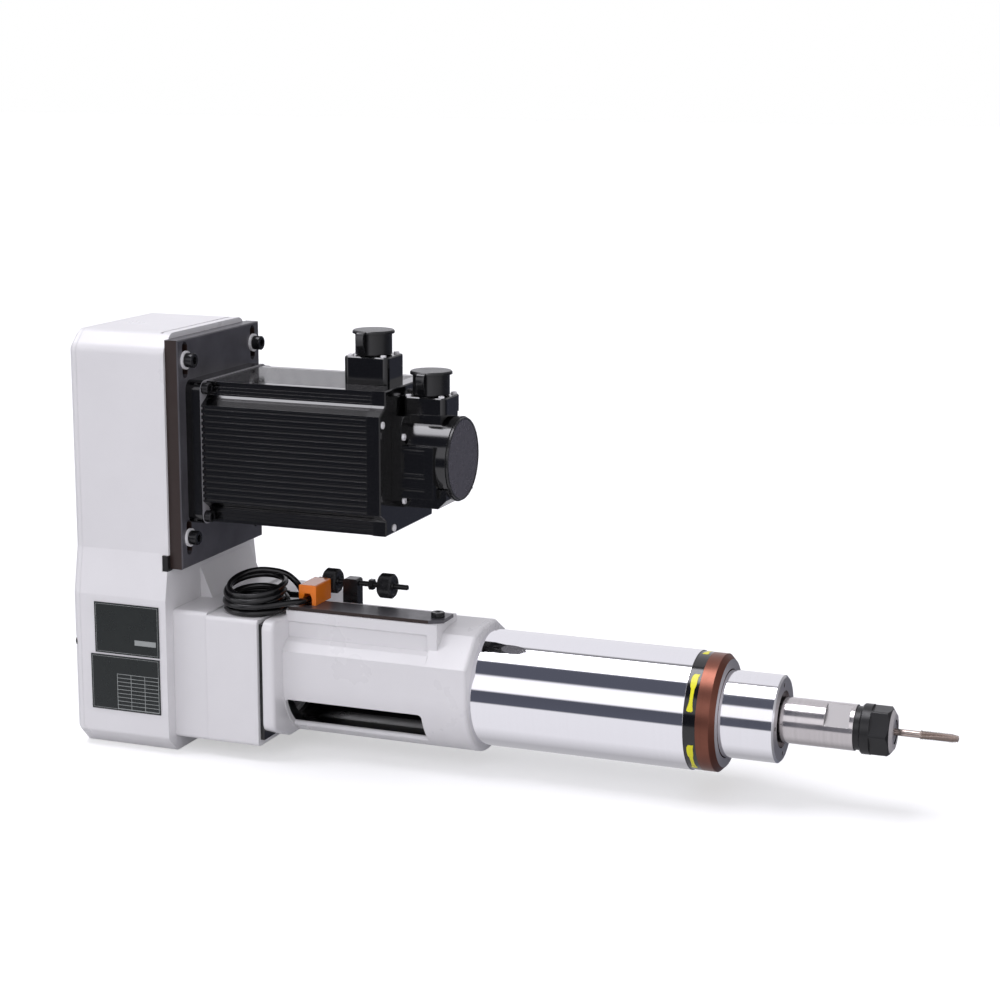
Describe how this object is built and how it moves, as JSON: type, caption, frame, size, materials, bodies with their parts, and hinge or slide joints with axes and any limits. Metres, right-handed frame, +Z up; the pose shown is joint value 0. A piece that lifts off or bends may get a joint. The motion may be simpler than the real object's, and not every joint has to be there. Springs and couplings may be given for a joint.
{
  "type": "servo drilling and tapping head",
  "caption": "Servo drilling and tapping head: motor and toothed belt drive a collet spindle in a sliding quill, held by its round barrel.",
  "frame": {"origin": "on the spindle axis, where the round barrel leaves the front face of the cast quill body", "axes": "+X along the spindle towards the tool, +Z up towards the motor, -Y towards the side with the sensor and plates"},
  "size_m": [0.6086, 0.1366, 0.2974],
  "materials": {
    "casting_paint": "satin light grey-white enamel over cast iron",
    "plate_black": "satin black oxide plate",
    "motor_black": "satin black anodised extrusion and castings",
    "encoder_grey": "smooth dark grey cap",
    "steel": "ground steel",
    "black_steel": "black oxide steel",
    "chrome": "hard chrome, ground and polished",
    "copper_ring": "copper-brown bronze ring",
    "band_black": "black band with plain yellow marks",
    "black_plastic": "moulded black plastic",
    "black_rubber": "black rubber",
    "aluminium": "turned aluminium",
    "nut_black": "black oxide collet nut",
    "tap_steel": "warm grey ground tool steel",
    "sensor_orange": "orange moulded case",
    "cable_black": "black cable sheath",
    "label": "plain dark plate"
  },
  "bodies": {
    "housing": {"belt_housing": "casting_paint", "rear_cover": "casting_paint", "cover_screw_1": "black_steel", "cover_screw_2": "black_steel", "cover_screw_3": "black_steel", "cover_screw_4": "black_steel", "side_key": "black_plastic", "name_plate_upper": "label", "name_plate_lower": "label", "plate_washer_1": "steel", "plate_washer_2": "steel", "plate_washer_3": "steel", "plate_washer_4": "steel", "plate_screw_1": "black_steel", "plate_screw_2": "black_steel", "plate_screw_3": "black_steel", "plate_screw_4": "black_steel", "drive_belt": "black_rubber", "bearing_block": "casting_paint", "bearing_rear": "steel", "bearing_front": "steel", "gasket": "black_rubber", "quill_body": "casting_paint", "barrel": "chrome", "marker_band": "band_black", "front_ring": "copper_ring", "bracket_plate": "plate_black", "bracket_screw_front": "black_steel", "bracket_screw_rear": "black_steel", "sensor": "sensor_orange", "cable_coil": "cable_black", "cable_lead": "cable_black", "cable_plug": "black_plastic"},
    "motor": {"motor_plate": "plate_black", "motor_flange": "motor_black", "motor_frame": "motor_black", "motor_end_bell": "motor_black", "encoder_housing": "motor_black", "encoder_cap": "encoder_grey", "power_box": "motor_black", "signal_box": "motor_black"},
    "rotor": {"motor_shaft": "steel", "motor_pulley": "aluminium"},
    "sleeve": {"drive_sleeve": "steel", "spindle_pulley": "aluminium"},
    "quill": {"quill": "chrome", "quill_lock_ring": "steel", "quill_front_bearing": "steel", "quill_rear_bearing": "steel", "dog_post": "black_steel", "trip_rod": "black_steel", "rod_nut": "black_steel"},
    "spindle": {"spindle": "steel", "collet": "steel", "tap": "tap_steel"},
    "nut": {"collet_nut": "nut_black"},
    "rear_knob": {"trip_knob_rear": "black_plastic"},
    "front_knob": {"trip_knob_front": "black_plastic"},
    "power_cap": {"power_dust_cap": "black_plastic"},
    "signal_cap": {"signal_dust_cap": "black_plastic"}
  },
  "joints": [
    {"name": "quill_feed", "type": "slide", "parent": "housing", "child": "quill", "axis": [1, 0, 0], "range_m": [-0.015, 0.055]},
    {"name": "spindle_spin", "type": "hinge", "parent": "quill", "child": "spindle", "pos_m": [0, 0, 0], "axis": [1, 0, 0], "continuous": true},
    {"name": "sleeve_spin", "type": "hinge", "parent": "housing", "child": "sleeve", "pos_m": [-0.2, 0, 0], "axis": [1, 0, 0], "continuous": true},
    {"name": "belt_tension", "type": "slide", "parent": "housing", "child": "motor", "axis": [0, 0, 1], "range_m": [-0.0045, 0.001], "deforming": ["drive_belt"]},
    {"name": "rotor_spin", "type": "hinge", "parent": "motor", "child": "rotor", "pos_m": [-0.2, 0, 0.1579], "axis": [1, 0, 0], "continuous": true},
    {"name": "nut_turn", "type": "hinge", "parent": "spindle", "child": "nut", "pos_m": [0.27, 0, 0], "axis": [1, 0, 0], "range_deg": [0, 360]},
    {"name": "rear_knob_set", "type": "slide", "parent": "quill", "child": "rear_knob", "axis": [1, 0, 0], "range_m": [-0.005, 0.004]},
    {"name": "front_knob_set", "type": "slide", "parent": "quill", "child": "front_knob", "axis": [1, 0, 0], "range_m": [-0.0045, 0.009]},
    {"name": "power_cap_turn", "type": "hinge", "parent": "motor", "child": "power_cap", "pos_m": [-0.0856, 0, 0.233], "axis": [0, 0, 1], "range_deg": [0, 360]},
    {"name": "signal_cap_turn", "type": "hinge", "parent": "motor", "child": "signal_cap", "pos_m": [-0.0432, 0, 0.206], "axis": [0, 0, 1], "range_deg": [0, 360]}
  ],
  "couplings": [
    {"joint": "sleeve_spin", "follows": "spindle_spin", "ratio": 1},
    {"joint": "rotor_spin", "follows": "spindle_spin", "ratio": 1.3333}
  ]
}
